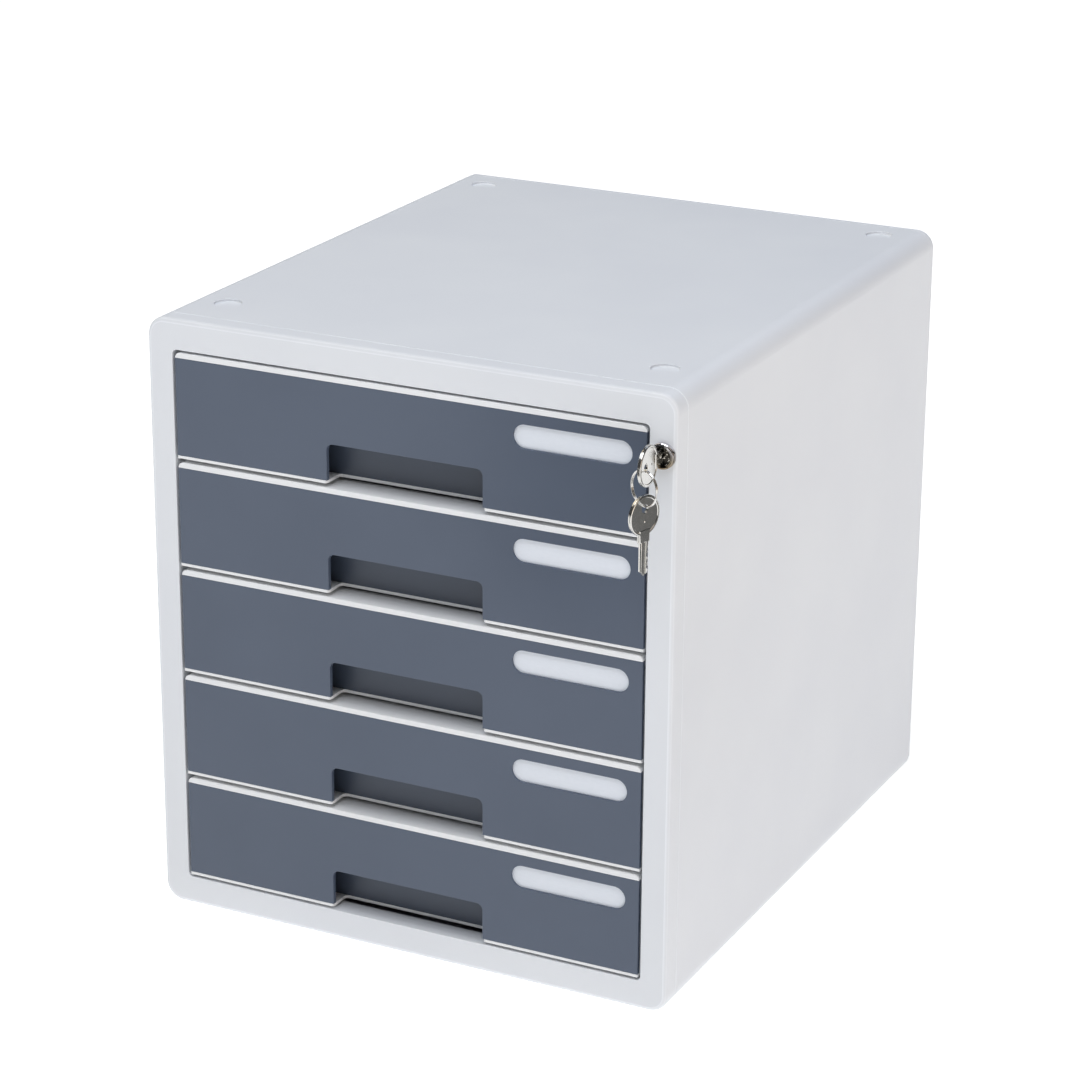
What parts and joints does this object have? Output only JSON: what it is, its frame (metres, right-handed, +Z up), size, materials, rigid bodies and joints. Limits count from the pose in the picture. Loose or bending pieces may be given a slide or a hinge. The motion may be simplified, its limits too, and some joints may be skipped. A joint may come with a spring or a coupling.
{
  "type": "desktop file drawer",
  "caption": "White desktop drawer cabinet with grey drawer fronts, finger cut-outs, label windows and a key lock that bars all the drawers.",
  "frame": {"origin": "on the surface it stands on, under the centre of the casing", "axes": "+X to the right seen from the front, +Y from the drawers towards the back, +Z up"},
  "size_m": [0.2964, 0.3758, 0.327],
  "materials": {
    "white_shell": "fine matte",
    "white_drawer": "satin",
    "white_inner": "satin",
    "grey_panel": "satin",
    "label_card": "paper",
    "foot_rubber": "matte",
    "chrome_collar": "polished",
    "lock_core": "dull nickel",
    "zinc_steel": "zinc plated",
    "key_brass": "satin",
    "key_metal": "worn nickel plating",
    "ring_wire": "polished"
  },
  "bodies": {
    "root": {"case_shell": "white_shell", "back_cover": "white_shell", "cover_screws": "zinc_steel", "foot_front_left": "foot_rubber", "foot_back_left": "foot_rubber", "foot_front_right": "foot_rubber", "foot_back_right": "foot_rubber", "front_frame": "white_shell", "runner_left": "white_inner", "runner_right": "white_inner", "lock_barrel": "chrome_collar", "lock_clip": "zinc_steel", "bar_guide_1": "white_inner", "bar_guide_2": "white_inner", "bar_guide_3": "white_inner", "guide_screws": "zinc_steel"},
    "drawer_1": {"drawer_1_tray": "white_drawer", "drawer_1_front": "grey_panel", "drawer_1_label": "label_card"},
    "drawer_2": {"drawer_2_tray": "white_drawer", "drawer_2_front": "grey_panel", "drawer_2_label": "label_card"},
    "drawer_3": {"drawer_3_tray": "white_drawer", "drawer_3_front": "grey_panel", "drawer_3_label": "label_card"},
    "drawer_4": {"drawer_4_tray": "white_drawer", "drawer_4_front": "grey_panel", "drawer_4_label": "label_card"},
    "drawer_5": {"drawer_5_tray": "white_drawer", "drawer_5_front": "grey_panel", "drawer_5_label": "label_card"},
    "lock_plug": {"lock_plug": "lock_core", "lock_wafers": "key_brass", "lock_cam": "zinc_steel", "cam_screw": "zinc_steel"},
    "lock_bar": {"lock_bar": "zinc_steel"},
    "key_in_lock": {"key_in_lock": "key_metal"},
    "key_ring": {"key_ring": "ring_wire"},
    "spare_key": {"spare_key": "key_metal"}
  },
  "joints": [
    {"name": "drawer_1_slide", "type": "slide", "parent": "root", "child": "drawer_1", "axis": [0, -1, 0], "range_m": [0, 0.24]},
    {"name": "drawer_2_slide", "type": "slide", "parent": "root", "child": "drawer_2", "axis": [0, -1, 0], "range_m": [0, 0.24]},
    {"name": "drawer_3_slide", "type": "slide", "parent": "root", "child": "drawer_3", "axis": [0, -1, 0], "range_m": [0, 0.24]},
    {"name": "drawer_4_slide", "type": "slide", "parent": "root", "child": "drawer_4", "axis": [0, -1, 0], "range_m": [0, 0.24]},
    {"name": "drawer_5_slide", "type": "slide", "parent": "root", "child": "drawer_5", "axis": [0, -1, 0], "range_m": [0, 0.24]},
    {"name": "lock_turn", "type": "hinge", "parent": "root", "child": "lock_plug", "pos_m": [0.14, -0.165, 0.2968], "axis": [0, -1, 0], "range_deg": [0, 90]},
    {"name": "lock_bar_slide", "type": "slide", "parent": "root", "child": "lock_bar", "axis": [0, 0, -1], "range_m": [0, 0.0099]},
    {"name": "key_pull", "type": "slide", "parent": "lock_plug", "child": "key_in_lock", "axis": [0, -1, 0], "range_m": [0, 0.024]},
    {"name": "ring_swing", "type": "hinge", "parent": "key_in_lock", "child": "key_ring", "pos_m": [0.14, -0.1934, 0.2968], "axis": [-1, 0, 0], "range_deg": [-8, 40]},
    {"name": "spare_swing", "type": "hinge", "parent": "key_ring", "child": "spare_key", "pos_m": [0.14, -0.1934, 0.2766], "axis": [-0.9511, 0.309, 0], "range_deg": [-10, 30]}
  ],
  "couplings": [
    {"joint": "lock_turn", "follows": "lock_bar_slide", "rad_per_m": 158.66}
  ]
}
